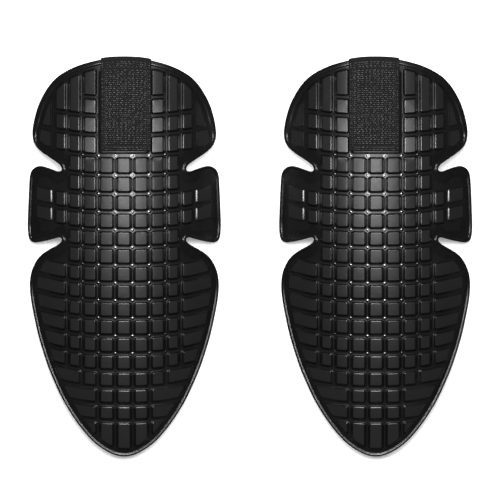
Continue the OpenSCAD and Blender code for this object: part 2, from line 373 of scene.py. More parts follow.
def block_cells():
    """[first line, last line, first column line, last column line] of each block or bar."""
    cells = [(r, r + 1, 1, 2) for r in range(4)]
    for c in (2, 3):
        cells += [(0, 2, c, c + 1), (2, 3, c, c + 1), (3, 4, c, c + 1)]
    cells += [(0, 3, 4, 5), (3, 4, 4, 5)]
    cells += [(r, r + 1, c, c + 1) for r in range(4, 16) for c in range(3)]
    cells += [(16, 17, 0, 1), (16, 17, 1, 2)]
    cells += [(r, r + 1, 0, 1) for r in range(17, 20)]
    cells += [(r, r + 1, c, c + 1) for r in (6, 7) for c in (3, 4)]
    cells += [(r, r + 1, 3, 5) for r in range(10, 16)]
    cells += [(16, 17, 2, 5), (17, 18, 1, 5), (18, 19, 1, 5), (19, 20, 1, 4)]
    both = [(c, s) for c in cells for s in (1, -1)]
    return both + [((r, r + 1, MIDDLE, 0), 1) for r in range(4, 20)]


def clip(polygon, keep_loop):
    """The part of a polygon inside a convex anticlockwise loop."""
    out = [np.array(p, float) for p in polygon]
    for a, b in zip(keep_loop, np.roll(keep_loop, -1, axis=0)):
        edge = b - a
        side = [edge[0] * (p[1] - a[1]) - edge[1] * (p[0] - a[0]) for p in out]
        new = []
        for i, p in enumerate(out):
            q, sp, sq = out[(i + 1) % len(out)], side[i], side[(i + 1) % len(out)]
            if sp >= 0:
                new.append(p)
            if (sp >= 0) != (sq >= 0):
                new.append(p + (q - p) * sp / (sp - sq))
        out = new
        if not out:
            break
    return out


def lobe_loop(low_y, high_y, inset, more=()):
    """The outline of one lobe, inset, as a convex loop; more closes it at its open end."""
    ok = (outline[:, 1] > low_y) & (outline[:, 1] < high_y)
    loop = outline[ok] - outline_out[ok] * inset(outline[ok])[:, None]
    start = np.argmax(np.linalg.norm(loop - np.roll(loop, 1, axis=0), axis=1))
    loop = np.roll(loop, -start, axis=0)[::3]
    return np.concatenate([loop, np.array(more).reshape(-1, 2)])


def thigh_inset(p):
    return bead_width(p) + 2.7


def shin_inset(p):
    return np.full(len(p), 5.4)


thigh_field = lobe_loop(86, 160, thigh_inset, [(-48, 72), (48, 72)])
shin_field = lobe_loop(-160, 8, shin_inset)


def block_outline(cell):
    """The flat top of a block or bar in plan, anticlockwise, for the +x side."""
    top, low, first, last = cell
    x0 = (-COLS[0] if first == MIDDLE else COLS[first]) + GROOVE_X
    x1 = COLS[last] - GROOVE_X
    count = max(2, math.ceil((x1 - x0) / 5) + 1)
    xs = np.linspace(x0, x1, count)
    base = [(x, row_y(low, x) + (GROOVE_Y if low < 20 else 0)) for x in xs]
    head = [(x, row_y(top, x) - (GROOVE_Y if top > 0 else 0)) for x in xs[::-1]]
    polygon = base + head
    if top < 4:
        polygon = clip(polygon, thigh_field)
    elif top >= 16 or (top >= 10 and first == 3):
        polygon = clip(polygon, shin_field)
    return np.array(polygon)


def tidy(polygon, least=2.4):
    """Merges points closer than least, keeping the ones at the sharper turns."""
    p = [np.array(q) for q in polygon]
    while True:
        gaps = [np.linalg.norm(p[i] - p[i - 1]) for i in range(len(p))]
        i = int(np.argmin(gaps))
        if gaps[i] > least or len(p) < 5:
            return np.array(p)

        def change(k):
            a, b, c = p[k - 1], p[k], p[(k + 1) % len(p)]
            return abs((b[0] - a[0]) * (c[1] - a[1]) - (b[1] - a[1]) * (c[0] - a[0]))

        p.pop(min((i, (i - 1) % len(p)), key=change))


CORNER_TURN = math.radians(24)
CORNER_STEPS = 4
EDGE_STEP = 3.2


def corner_frames(polygon):
    """For each ring point: where it is at offset 0, and which way it moves outwards."""
    n = len(polygon)
    found = []
    for i in range(n):
        a, p, b = polygon[i - 1], polygon[i], polygon[(i + 1) % n]
        d0, d1 = (p - a) / np.linalg.norm(p - a), (b - p) / np.linalg.norm(b - p)
        n0, n1 = np.array([d0[1], -d0[0]]), np.array([d1[1], -d1[0]])
        turn = math.atan2(d0[0] * d1[1] - d0[1] * d1[0], float(d0 @ d1))
        miter = (n0 + n1) / (1 + float(n0 @ n1))
        if turn > CORNER_TURN:
            room = min(np.linalg.norm(p - a), np.linalg.norm(b - p))
            radius = min(CORNER_R, 0.45 * room / math.tan(turn / 2))
            centre = p - miter * radius
            start = math.atan2(n0[1], n0[0])
            for s in range(CORNER_STEPS + 1):
                angle = start + turn * s / CORNER_STEPS
                way = np.array([math.cos(angle), math.sin(angle)])
                found.append((centre + way * radius, way))
        else:
            found.append((p, miter))
    ring = []
    for (p, way), (q, next_way) in zip(found, found[1:] + found[:1]):
        ring.append((p, way))
        steps = math.ceil(np.linalg.norm(q - p) / EDGE_STEP)
        ring += [(p + (q - p) * s / steps, way + (next_way - way) * s / steps)
                 for s in range(1, steps)]
    return np.array([p for p, _ in ring]), np.array([w for _, w in ring])


CROWN_H = 0.09  # the block tops swell a little
WALL_X = 0.66  # the walls beside the long grooves reach this much further
LEAN = 0.15  # slope of the blocks beside the hook tape
LEAN_FROM, LEAN_MIDDLE, LEAN_TO = 19, 25.5, 32
WING_SINK, THIGH_SINK, SHIN_SINK = 0.96, 0.94, 0.95  # height lost towards the rim
FLOOR_GRAIN = 0.8  # how much of the block tops' grain the groove floors have
# Offset outwards from the flat top, and height there as a share of the block's
BLOCK_PROFILE = [
    (-0.5, 1.0), (-0.3, 0.985), (-0.08, 0.945), (0.12, 0.87), (0.26, 0.77), (0.4, 0.62),
    (0.6, 0.37), (0.76, 0.2), (0.92, 0.08), (1.1, 0.02), (1.3, 0.0),
]


def block_height(x, y):
    """Height of the blocks: the bars and the wings' blocks sink towards the rim.

    The blocks beside the hook tape lean back level, so their outer edges stand higher."""
    ax = np.abs(x)
    fade = 1 - WING_SINK * smooth_step(ax, 46, 64) * (y < 70)
    fade = np.where(y > 70, 1 - THIGH_SINK * smooth_step(ax, 44, 60), fade)
    low = 1 - SHIN_SINK * smooth_step(-y, 66, 118) * smooth_step(ax, 15, 36)
    lean = LEAN * (ax - LEAN_MIDDLE) * (y > 74) * (ax > LEAN_FROM) * (ax < LEAN_TO)
    lean = lean * (1 - smooth_step(y, 114, 122))
    return BLOCK_H * np.minimum(fade, low) + lean


def add_block(shape, polygon, mirror=False, high=block_height, crown=CROWN_H):
    """Adds one block, and returns its base ring's point numbers."""
    at, way = corner_frames(tidy(polygon))
    if mirror:
        at, way = (at * [-1, 1])[::-1], (way * [-1, 1])[::-1]
    height = high(at[:, 0], at[:, 1])
    rings = []
    for offset, share in BLOCK_PROFILE:
        grain = 1 - smooth_step(offset, -0.5, -0.2) + FLOOR_GRAIN * smooth_step(offset, 0.5, 1.1)
        more = WALL_X * smooth_step(offset, 0.3, 1.0)
        reach = way * [offset + more, offset]
        rings.append(shape.add(at + reach, BLOCK_H - height * share, grain))
    for inner, outer in zip(rings, rings[1:]):
        shape.band(outer, inner)

    def top_depth(x, y):
        return BLOCK_H - high(x, y) - crown

    shape.fill(rings[0], [], [], 3.0, top_depth, grain=1.0)
    return rings[-1]


# ---- the moulding: rim, floor and back -------------------------------------------

BEAD_H = 1.1


def rim_rings(shape):
    """Rings round the rim, from the back of the flange over the bead to the floor."""
    w = bead_width(outline)
    high = BLOCK_H - BEAD_H * (0.8 + 0.2 * smooth_step(outline[:, 1], 84, 104))
    flat = np.zeros(len(outline))
    steps = [
        (flat + 1.7, SHELL_BACK), (flat + 0.8, SHELL_BACK), (flat + 0.3, 4.35),
        (flat + 0.06, 4.0), (flat, 3.4), (flat, high + 0.75), (flat + 0.05, high + 0.42),
        (flat + 0.22, high + 0.17), (0.16 * w + 0.25, high + 0.04), (0.5 * w, high),
        (0.74 * w, high + 0.06), (0.88 * w, high * 0.6 + 0.78), (w, high * 0.25 + 1.5),
        (w + 0.25, 1.93), (w + 0.6, 2.0),
    ]
    rings = [shape.add(outline - outline_out * d[:, None], t) for d, t in steps]
    for outer, inner in zip(rings, rings[1:]):
        shape.band(outer, inner)
    return rings


def pad_height(*_):
    """Height of the pad that carries the hook tape, the same all over."""
    return PAD_H


def tape_pad():
    """The flat top of the pad in plan; it stops below the bead at the thigh edge."""
    half = COLS[1] - GROOVE_X
    across = np.linspace(-half, half, 9)
    base = [(x, PAD_LOW_Y) for x in across]
    return np.array(base + [(x, PAD_TOP_Y - PAD_TOP_BOW * x * x) for x in across[::-1]])


def add_pip(shape, x, y):
    """A low dome where two grooves cross; returns its base ring."""
    turn = np.arange(PIP_SIDES) * 2 * math.pi / PIP_SIDES
    ways = np.stack([np.cos(turn), np.sin(turn)], axis=1)
    rings = [shape.add(np.array([x, y]) + ways * r, BLOCK_H - h, grain=-1.0 * (h > 0))
             for r, h in PIP_PROFILE]
    for outer, inner in zip(rings, rings[1:]):
        shape.band(outer, inner)
    top = shape.add([(x, y)], BLOCK_H - PIP_H, grain=-1.0)[0]
    for i in range(PIP_SIDES):
        shape.face((rings[-1][i], rings[-1][(i + 1) % PIP_SIDES], top))
    return rings[0]


def build_moulding():
    shape = Shape()
    rings = rim_rings(shape)
    floor, back = rings[-1], rings[0]
    bases = []
    for cell, side_x in block_cells():
        bases.append(add_block(shape, block_outline(cell), side_x < 0))
    bases.append(add_block(shape, tape_pad(), high=pad_height, crown=0))
    pips = []
    for line in PIP_LINES:
        for x in [s * col for col in COLS[:3] for s in (1, -1)]:
            ring = add_pip(shape, x, float(row_y(line, x)))
            bases.append(ring)
            if line == CENTRE_CUT:
                pips.append((x, [*ring[PIP_SIDES // 2:], ring[0]]))
    for ring, holes, depth, spacing, flip in (
        (floor, bases, BLOCK_H, 5.0, False), (back, [], SHELL_BACK, 8.0, True),
    ):
        cuts, joins = [], []
        for side_x in (1, -1):
            top, low = (ring[tip_of[side_x, k]] for k in ("high", "low"))
            path = [shape.add_at((side_x * WING_X, float(y)), depth, FLOOR_GRAIN)
                    for y in foot_stops(np.arange(62.0, 15.0, -3.0))]
            joins.append(min(path, key=lambda i: abs(shape.points[i][1] - FOOT_CROSS_Y)))
            cuts.append([top, *path, low])
        cuts.append([joins[1], *centre_path(pips if holes else ()), joins[0]])
        shape.fill(ring, holes, cuts, spacing, depth, flip=flip, grain=FLOOR_GRAIN)
    return shape


# ---- from plan to Blender --------------------------------------------------------


def place_of(side):
    """Where a guard's plan origin and its crown are in the row frame, in metres."""
    lo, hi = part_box(f"{side}_knee_shell")
    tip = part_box(f"{side}_shin_shell")[0]
    return (lo[0] + hi[0]) / 2, tip[1] - TIP_Y * MM, hi[2]


def to_world(side, x, y, z):
    """Row-frame points from the guard's x, y and height over the crown, in mm."""
    cx, cy, cz = place_of(side)
    return np.stack([cx + SIDES[side] * np.asarray(x) * MM, cy + np.asarray(y) * MM,
                     cz + np.asarray(z) * MM], axis=1)


def link_object(name, data):
    obj = bpy.data.objects.new(name, data)
    bpy.context.scene.collection.objects.link(obj)
    return obj


def make_object(name, points, faces, normals=None, attributes=()):
    mesh = bpy.data.meshes.new(name)
    mesh.from_pydata([tuple(p) for p in points], [], [list(f) for f in faces])
    mesh.update()
    mesh.polygons.foreach_set("use_smooth", [True] * len(mesh.polygons))
    for key, values in attributes:
        layer = mesh.attributes.new(key, "FLOAT", "POINT")
        layer.data.foreach_set("value", np.asarray(values, np.float32))
    if normals is not None:
        mesh.normals_split_custom_set_from_vertices([tuple(n) for n in normals])
    return link_object(name, mesh)


def vertex_normals(points, faces):
    """Normals weighted by face area, over the whole shape."""
    total = np.zeros_like(points)
    for f in faces:
        p = points[list(f)]
        if len(f) == 4:
            n = np.cross(p[2] - p[0], p[3] - p[1])
        else:
            n = np.cross(p[1] - p[0], p[2] - p[0])
        for i in f:
            total[i] += n
    return total / np.maximum(np.linalg.norm(total, axis=1), 1e-12)[:, None]


SECTIONS = ("upper", "lower", "outer_wing", "inner_wing")


def split_shape(shape, side, layer):
    """Blender objects of a shape's sections, with normals that agree where they meet."""
    p = np.array(shape.points)
    world = to_world(side, p[:, 0], p[:, 1], face_z(p[:, 0], p[:, 1], p[:, 2]))
    faces = [f if SIDES[side] > 0 else f[::-1] for f in shape.faces]
    normals = vertex_normals(world, faces)
    grain = np.array(shape.grain)
    where = [section(*p[list(f), :2].mean(axis=0)) for f in faces]
    made = {}
    for key in SECTIONS:
        mine = [f for f, w in zip(faces, where) if w == key]
        used = sorted({i for f in mine for i in f})
        new = {old: i for i, old in enumerate(used)}
        made[key] = make_object(
            f"{side}_{key}_{layer}", world[used], [[new[i] for i in f] for f in mine],
            normals[used], [("grain", grain[used])])
    return made


# ---- the back: foam core and lining ----------------------------------------------

CHANNEL_DEPTH = 1.5
CHANNEL_HALF = 2.2
CHANNEL_ROWS = (4.5, 8.7, 12, 15)  # as row line numbers
CHANNEL_COLS = (13.0, WING_X)
BACK_INSET = 2.9  # where the rounded edge meets the back
# Inset from the foam line and depth, round the edge from front to back
FOAM_RIM = [(0.6, 4.56), (0.0, 5.2), (-0.15, 7.5), (0.1, 9.6), (0.7, 10.7), (1.7, 11.3)]
LINING_RIM = [(0.3, 9.8), (-0.3, 9.9), (-0.6, 10.3), (-0.45, 10.9), (0.2, 11.55), (1.2, 12.1)]


def channel(x, y):
    """How deep the pressed flex channels on the back are at a place."""
    rows = np.array([np.interp(r, range(len(LINES)), LINES) for r in CHANNEL_ROWS])
    lift = bow(x, y)
    deep = np.zeros(np.broadcast(x, y).shape)
    for r in rows:
        deep = np.maximum(deep, np.exp(-np.square((y - r - lift) / CHANNEL_HALF)))
    for c in CHANNEL_COLS:
        within = smooth_step(y, 4, 16) * smooth_step(-y, -66, -54) if c == WING_X else 1.0
        deep = np.maximum(deep, within * np.exp(-np.square((np.abs(x) - c) / CHANNEL_HALF)))
    return CHANNEL_DEPTH * deep


def foam_depth(x, y):
    return FOAM_BACK - channel(x, y)


def lining_depth(x, y):
    return LINING_BACK - channel(x, y)


def cut_paths(shape, ring, depth):
    """Cuts across the back layers at the wings' feet and at the knee's middle."""
    xy = np.array([shape.points[i][:2] for i in ring])
    cuts, joins = [], []
    for side_x in (1, -1):
        off = np.abs(xy[:, 0] - side_x * WING_X)
        top, low = (min(np.where((off < 4) & (xy[:, 1] > y0) & (xy[:, 1] < y1))[0],
                        key=lambda i: off[i]) for y0, y1 in ((40, 65), (15, 40)))
        ys = foot_stops(np.arange(xy[top, 1] - 3, xy[low, 1] + 2, -2.6))
        path = [shape.add_at((side_x * WING_X, float(y)), depth, 0.0) for y in ys]
        joins.append(path[int(np.argmin(np.abs(ys - FOOT_CROSS_Y)))])
        cuts.append([ring[top], *path, ring[low]])
    cuts.append([joins[1], *centre_path(), joins[0]])
    return cuts


def build_layer(rim, depth, spacing, front=None):
    """A layer of the back within the foam line; front is the depth of its front, if any."""
    shape = Shape()
    rings = [shape.add(foam_line - foam_out * d, t) for d, t in rim]
    last = foam_line - foam_out * BACK_INSET
    rings.append(shape.add(last, depth(last[:, 0], last[:, 1])))
    for a, b in zip(rings, rings[1:]):
        shape.band(a[::-1], b[::-1])
    if front is not None:
        shape.fill(rings[0], [], cut_paths(shape, rings[0], front), 8.0, front)
    shape.fill(rings[-1], [], cut_paths(shape, rings[-1], depth), spacing, depth, flip=True)
    return shape


# ---- hook tape -------------------------------------------------------------------


def tape_path(x):
    """(y, z) points along the tape at x, from its front end round the thigh edge to its tail."""
    half = outline[outline[:, 1] > 120]
    order = np.argsort(half[:, 0])
    edge = float(np.interp(x, half[order, 0], half[order, 1]))
    front_t, rear_t = BLOCK_H - PAD_H - TAPE_T / 2, SHELL_BACK + TAPE_T / 2
    ys = np.linspace(TAPE_END_Y, edge - FOLD_START, FRONT_POINTS)
    front = [(y, float(face_z(x, y, front_t))) for y in ys]
    level = float(face_z(x, edge - FOLD_LEVEL, (front_t + rear_t) / 2))
    reach = (rear_t - front_t) / 2
    turns = [math.radians(a) for a in np.linspace(80, -80, 9)]
    fold = [(edge - FOLD_CENTRE + FOLD_REACH * math.cos(a), level + reach * math.sin(a))
            for a in turns]
    ys = np.linspace(edge - FOLD_START, edge - TAPE_TUCK, 7)
    return front + fold + [(y, float(face_z(x, y, rear_t))) for y in ys]


def build_tape():
    """The tape's ground weave, as a thin closed sheet."""
    xs = TAPE_SHIFT + np.linspace(-TAPE_W / 2, TAPE_W / 2, 27)
    grid = np.array([[(x, *p) for p in tape_path(x)] for x in xs])
    du, dv = np.gradient(grid, axis=0), np.gradient(grid, axis=1)
    normal = np.cross(du, dv)
    normal /= np.linalg.norm(normal, axis=2)[:, :, None]
    rows, cols = grid.shape[:2]
    thin = np.ones((rows, cols))
    thin[[0, -1], :] = thin[:, [0, -1]] = EDGE_THIN
    half = normal * (TAPE_T / 2 * thin)[:, :, None]
    over, under = (grid + half).reshape(-1, 3), (grid - half).reshape(-1, 3)
    points = np.concatenate([over, under])
    count = rows * cols

    def at(i, j, layer):
        return layer * count + i * cols + j

    faces = []
    for i in range(rows - 1):
        for j in range(cols - 1):
            a, b, c, d = at(i, j, 0), at(i + 1, j, 0), at(i + 1, j + 1, 0), at(i, j + 1, 0)
            faces += [(a, b, c, d), (d + count, c + count, b + count, a + count)]
    border = [(i, 0) for i in range(rows)] + [(rows - 1, j) for j in range(1, cols)]
    border += [(i, cols - 1) for i in range(rows - 2, -1, -1)]
    border += [(0, j) for j in range(cols - 2, 0, -1)]
    for (i, j), (k, m) in zip(border, border[1:] + border[:1]):
        faces.append((at(k, m, 0), at(i, j, 0), at(i, j, 1), at(k, m, 1)))
    return grid, normal, points, faces


def flip_faces(side, faces):
    return faces if SIDES[side] > 0 else [f[::-1] for f in faces]


def tape_frame(grid, normal, u, v):
    """A place on the tape and the directions there: u across in mm, v along the path 0 to 1."""
    i = (u / TAPE_W + 0.5) * (grid.shape[0] - 1)
    j = v * (grid.shape[1] - 1)
    i0, j0 = min(int(i), grid.shape[0] - 2), min(int(j), grid.shape[1] - 2)
    fi, fj = i - i0, j - j0

    def mix(g):
        low = g[i0, j0] * (1 - fi) + g[i0 + 1, j0] * fi
        high = g[i0, j0 + 1] * (1 - fi) + g[i0 + 1, j0 + 1] * fi
        return low * (1 - fj) + high * fj

    along = grid[i0, j0 + 1] - grid[i0, j0]
    return mix(grid), mix(normal), along / np.linalg.norm(along)


HOOK_PITCH = (1.45, 1.55)
HOOK_STRAY = 0.28
HOOK_R = 0.24
HOOK_H = 1.0
HOOK_SINK = 0.15
HOOK_SIDES = 4
HOOK_TURN = 0.5  # how far the hooks are turned from the tape's width, in radians
HOOK_MARGIN = 1.1  # bare strip along the tape's sides
HOOK_START, HOOK_STOP = 1.2, 1.6  # bare strips at its ends
SEAM_CLEAR = (0.75, 0.8)  # across the side seams, and across the end seams
# A hook from its foot to its tip, sideways and up
HOOK_STEM = [(0, 0), (0.02, 0.55), (0.1, 0.85), (0.32, 1.0), (0.55, 0.86), (0.6, 0.62)]


def tube(points, radius, sides):
    """A thin tube through points: its own points and faces."""
    points = np.asarray(points, float)
    along = np.gradient(points, axis=0)
    along /= np.linalg.norm(along, axis=1)[:, None]
    helper = np.array([0.3, 0.5, 0.81])
    side_way = np.cross(along, helper)
    side_way /= np.linalg.norm(side_way, axis=1)[:, None]
    up = np.cross(side_way, along)
    angle = np.arange(sides) * 2 * math.pi / sides
    ring = [p + radius * (np.cos(angle)[:, None] * s + np.sin(angle)[:, None] * w)
            for p, s, w in zip(points, side_way, up)]
    faces = []
    for k in range(len(points) - 1):
        for a in range(sides):
            b = (a + 1) % sides
            faces.append((k * sides + a, (k + 1) * sides + a, (k + 1) * sides + b, k * sides + b))
    last = (len(points) - 1) * sides
    faces += [tuple(range(sides)), tuple(range(last + sides - 1, last - 1, -1))]
    return np.concatenate(ring), faces


def build_hooks(grid, normal):
    """The field of small plastic hooks, clear of the seams."""
    chance = random.Random(7)
    path = grid[grid.shape[0] // 2]
    front_share = (FRONT_POINTS - 1) / (grid.shape[1] - 1)
    front_len = np.linalg.norm(np.diff(path[:FRONT_POINTS], axis=0), axis=1).sum()
    points, faces = [], []
    half = TAPE_W / 2 - HOOK_MARGIN
    columns = int(2 * half / HOOK_PITCH[0])
    rows = int((front_len - HOOK_STOP) / HOOK_PITCH[1])
    for r in range(rows):
        y_along = HOOK_START + r * HOOK_PITCH[1]
        y = TAPE_END_Y + y_along
        seam_v = min(abs(y - SEAM_LOW_Y), abs(y - SEAM_TOP_Y)) < SEAM_CLEAR[1]
        for c in range(columns + 1):
            u = -half + (c + 0.5 * (r % 2)) * HOOK_PITCH[0]
            u += chance.uniform(-HOOK_STRAY, HOOK_STRAY)
            seam_u = abs(abs(u) - (TAPE_W / 2 - SEAM_INSET)) < SEAM_CLEAR[0]
            if abs(u) > half or seam_u or seam_v:
                continue
            at, up, along = tape_frame(grid, normal, u, front_share * y_along / front_len)
            way = np.cross(up, along) * math.cos(HOOK_TURN) * (1 if (r + c) % 2 else -1)
            way = way + along * math.sin(HOOK_TURN) * chance.uniform(-1, 1)
            base = at + up * (TAPE_T / 2 - HOOK_SINK)
            h = HOOK_H * chance.uniform(0.85, 1.05)
            line = [base + way * a * h + up * b * h for a, b in HOOK_STEM]
            p, f = tube(line, HOOK_R, HOOK_SIDES)
            faces += [tuple(i + len(points) * len(p) for i in g) for g in f]
            points.append(p)
    return np.concatenate(points), faces


def seam_spots():
    """Stitches along the tape's seam as (u0, y0, u1, y1) in mm."""
    u = TAPE_W / 2 - SEAM_INSET
    rows = round((SEAM_TOP_Y - SEAM_LOW_Y) / STITCH_PITCH)
    spots = []
    for k in range(rows):
        y = SEAM_LOW_Y + (k + 0.5) * (SEAM_TOP_Y - SEAM_LOW_Y) / rows
        spots += [(s * u, y - STITCH_LEN / 2, s * u, y + STITCH_LEN / 2) for s in (1, -1)]
    count = round(2 * u / STITCH_PITCH)
    for k in range(count):
        a = -u + (k + 0.5) * 2 * u / count
        for y in (SEAM_LOW_Y, SEAM_TOP_Y):
            spots.append((a - STITCH_LEN / 2, y, a + STITCH_LEN / 2, y))
    return spots


def build_thread(grid, normal):
    """Stitches of sewing thread, each a short arch that dips into the tape."""
    points, faces, total = [], [], 0
    path = grid[grid.shape[0] // 2]
    share = (FRONT_POINTS - 1) / (grid.shape[1] - 1)
    front_len = path[FRONT_POINTS - 1, 1] - path[0, 1]
    for u0, y0, u1, y1 in seam_spots():
        line = []
        for s in np.linspace(0, 1, 7):
            y = y0 + (y1 - y0) * s
            v = share * (y - TAPE_END_Y) / front_len
            at, up, _ = tape_frame(grid, normal, u0 + (u1 - u0) * s, v)
            rise = STITCH_RISE * math.sin(math.pi * s)
            line.append(at + up * (TAPE_T / 2 - STITCH_SINK + rise))
        p, f = tube(line, STITCH_R, 6)
        faces += [tuple(i + total for i in g) for g in f]
        points.append(p)
        total += len(p)
    return np.concatenate(points), faces


# ---- materials -------------------------------------------------------------------


class Nodes:
    """A short way to write a material's nodes."""

    def __init__(self, name):
        self.material = bpy.data.materials.new(name)
        self.material.use_nodes = True
        self.tree = self.material.node_tree
        self.tree.nodes.clear()
        self.out = self.new("ShaderNodeOutputMaterial")
        self.shader = self.new("ShaderNodeBsdfPrincipled")
        self.link(self.shader.outputs[0], self.out.inputs["Surface"])
        self.where = self.new("ShaderNodeTexCoord").outputs["Object"]

    def new(self, kind, **settings):
        node = self.tree.nodes.new(kind)
        for key, value in settings.items():
            setattr(node, key, value)
        return node

    def link(self, a, b):
        self.tree.links.new(a, b)

    def noise(self, scale, detail=2.0, rough=0.5):
        node = self.new("ShaderNodeTexNoise")
        node.inputs["Scale"].default_value = scale
        node.inputs["Detail"].default_value = detail
        node.inputs["Roughness"].default_value = rough
        self.link(self.where, node.inputs["Vector"])
        return node.outputs["Fac"]

    def voronoi(self, scale):
        node = self.new("ShaderNodeTexVoronoi")
        node.inputs["Scale"].default_value = scale
        self.link(self.where, node.inputs["Vector"])
        return node.outputs["Distance"]

    def maths(self, operation, a, b=0.5):
        node = self.new("ShaderNodeMath", operation=operation)
        for socket, value in zip(node.inputs, (a, b)):
            if isinstance(value, (int, float)):
                socket.default_value = value
            else:
                self.link(value, socket)
        return node.outputs[0]

    def spread(self, value, low, high, from_low=0.0, from_high=1.0):
        node = self.new("ShaderNodeMapRange")
        self.link(value, node.inputs["Value"])
        for key, number in (("From Min", from_low), ("From Max", from_high),
                            ("To Min", low), ("To Max", high)):
            node.inputs[key].default_value = number
        return node.outputs["Result"]

    def colours(self, value, *stops):
        node = self.new("ShaderNodeValToRGB")
        ramp = node.color_ramp
        ramp.elements[0].position, ramp.elements[1].position = stops[0][0], stops[-1][0]
        ramp.elements[0].color = (*stops[0][1], 1)
        ramp.elements[1].color = (*stops[-1][1], 1)
        for at, colour in stops[1:-1]:
            ramp.elements.new(at).color = (*colour, 1)
        self.link(value, node.inputs["Fac"])
        return node.outputs["Color"]

    def attribute(self, name):
        return self.new("ShaderNodeAttribute", attribute_name=name).outputs["Fac"]

    def wave(self, axis, pitch, shift=None):
        """A sine along one axis of the object; its pitch is in metres."""
        split = self.new("ShaderNodeSeparateXYZ")
        self.link(self.where, split.inputs[0])
        phase = self.maths("MULTIPLY", split.outputs[axis], 2 * math.pi / pitch)
        if shift is not None:
            phase = self.maths("ADD", phase, shift)
        return self.maths("SINE", phase)

    def bump(self, height, strength, distance, normal=None):
        node = self.new("ShaderNodeBump")
        node.inputs["Strength"].default_value = strength
        node.inputs["Distance"].default_value = distance
        self.link(height, node.inputs["Height"])
        if normal is not None:
            self.link(normal, node.inputs["Normal"])
        return node.outputs["Normal"]

    def surface(self, colour, roughness, normal=None):
        for key, socket in (("Base Color", colour), ("Roughness", roughness), ("Normal", normal)):
            if socket is not None:
                self.link(socket, self.shader.inputs[key])
        return self.material


def moulding_material():
    """Black moulded shell: glossy grooves and rim, and a fine grain on the block tops."""
    n = Nodes("moulded_black")
    grain = n.attribute("grain")
    mottle = n.noise(900, 3.0, 0.6)
    cloud = n.noise(60, 3.0, 0.55)
    shade = n.maths("ADD", n.maths("MULTIPLY", cloud, 0.3), n.spread(grain, 0.0, 0.7, 0.7, 1.0))
    colour = n.colours(shade, (0.1, (0.0024, 0.0024, 0.0025)), (0.9, (0.0086, 0.0086, 0.0087)))
    smooth = n.spread(cloud, 0.2, 0.26, 0.3, 0.7)
    more = n.maths("SUBTRACT", n.spread(mottle, 0.32, 0.41, 0.3, 0.7), smooth)
    roughness = n.maths("ADD", smooth, n.maths("MULTIPLY", more, grain))
    n.link(n.spread(grain, 0.95, 0.2, -1, 0.8), n.shader.inputs["Specular IOR Level"])
    height = n.maths("MULTIPLY", n.maths("ADD", n.voronoi(1500), mottle), 0.6)
    pits = n.bump(n.maths("MULTIPLY", height, n.maths("MAXIMUM", grain, 0.0)), 0.35, 0.00012)
    return n.surface(colour, roughness, n.bump(n.noise(140, 2.0, 0.5), 0.12, 0.0004, pits))


def foam_material():
    """Closed-cell foam: fine open pores on the cut edge."""
    n = Nodes("foam_charcoal")
    pores = n.voronoi(1100)
    colour = n.colours(n.noise(120, 4.0, 0.6),
                       (0.3, (0.02, 0.02, 0.021)), (0.7, (0.035, 0.035, 0.036)))
    return n.surface(colour, n.spread(pores, 0.95, 0.75), n.bump(pores, 0.6, 0.0003))


def lining_material():
    """Black warp knit: rows of small loops with a soft sheen."""
    n = Nodes("lining_knit")
    wale = n.wave("X", 0.0011)
    course = n.wave("Y", 0.0009, shift=n.maths("MULTIPLY", wale, 0.9))
    loops = n.maths("MULTIPLY", n.maths("ADD", wale, course), 0.5)
    fuzz = n.noise(2600, 2.0, 0.6)
    cloud = n.noise(45, 4.0, 0.6)
    shade = n.maths("ADD", n.spread(loops, 0.2, 0.75, -1, 1), n.maths("MULTIPLY", cloud, 0.3))
    colour = n.colours(shade, (0.2, (0.006, 0.006, 0.0065)), (0.95, (0.034, 0.034, 0.036)))
    n.shader.inputs["Sheen Weight"].default_value = 0.25
    n.shader.inputs["Sheen Roughness"].default_value = 0.5
    height = n.maths("ADD", loops, n.maths("MULTIPLY", fuzz, 0.5))
    return n.surface(colour, n.spread(fuzz, 0.7, 0.95), n.bump(height, 0.7, 0.0003))


def tape_material():
    """Woven nylon ground of the hook tape."""
    n = Nodes("tape_weave")
    weave = n.maths("MULTIPLY", n.wave("X", 0.0009), n.wave("Y", 0.0008))
    fuzz = n.noise(1800, 2.0, 0.6)
    colour = n.colours(n.spread(weave, 0.0, 1.0, -1, 1),
                       (0.0, (0.004, 0.004, 0.004)), (1.0, (0.009, 0.009, 0.0095)))
    n.shader.inputs["Specular IOR Level"].default_value = 0.12
    height = n.maths("ADD", weave, fuzz)
    return n.surface(colour, n.spread(fuzz, 0.55, 0.8), n.bump(height, 0.6, 0.0003))


def hook_material():
    """Extruded nylon hooks: dark and slightly shiny. The lighter grey hooks among them are
    painted glints.
    """
    n = Nodes("hook_nylon")
    cloud = n.noise(500, 2.0, 0.6)
    # painted glints: the noise keeps the dark nylon tone at its low end and turns some hooks
    # lighter grey, up to 0.13, in place of light caught on the hooks
    colour = n.colours(cloud, (0.4, (0.006, 0.006, 0.0065)), (0.6, (0.13, 0.13, 0.135)))
    return n.surface(colour, n.spread(cloud, 0.3, 0.5))


def thread_material():
    """Twisted sewing thread."""
    n = Nodes("thread_black")
    wave = n.new("ShaderNodeTexWave", wave_type="BANDS", bands_direction="DIAGONAL")
    wave.inputs["Scale"].default_value = 700
    n.link(n.where, wave.inputs["Vector"])
    twist = wave.outputs["Fac"]
    colour = n.colours(twist, (0.0, (0.004, 0.004, 0.004)), (1.0, (0.008, 0.008, 0.008)))
    return n.surface(colour, n.spread(twist, 0.75, 0.5), n.bump(twist, 0.6, 0.0001))


# ---- putting the guards together -------------------------------------------------

CAD_OF = {"upper": ("knee", "thigh"), "lower": ("shin",), "outer_wing": ("outer_wing",),
          "inner_wing": ("inner_wing",)}


def ride_section(obj, key):
    """Bakes a section's placement into its mesh; every section is treated the same."""
    if key in ("upper", "lower"):
        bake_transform(obj)
    else:
        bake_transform(obj)


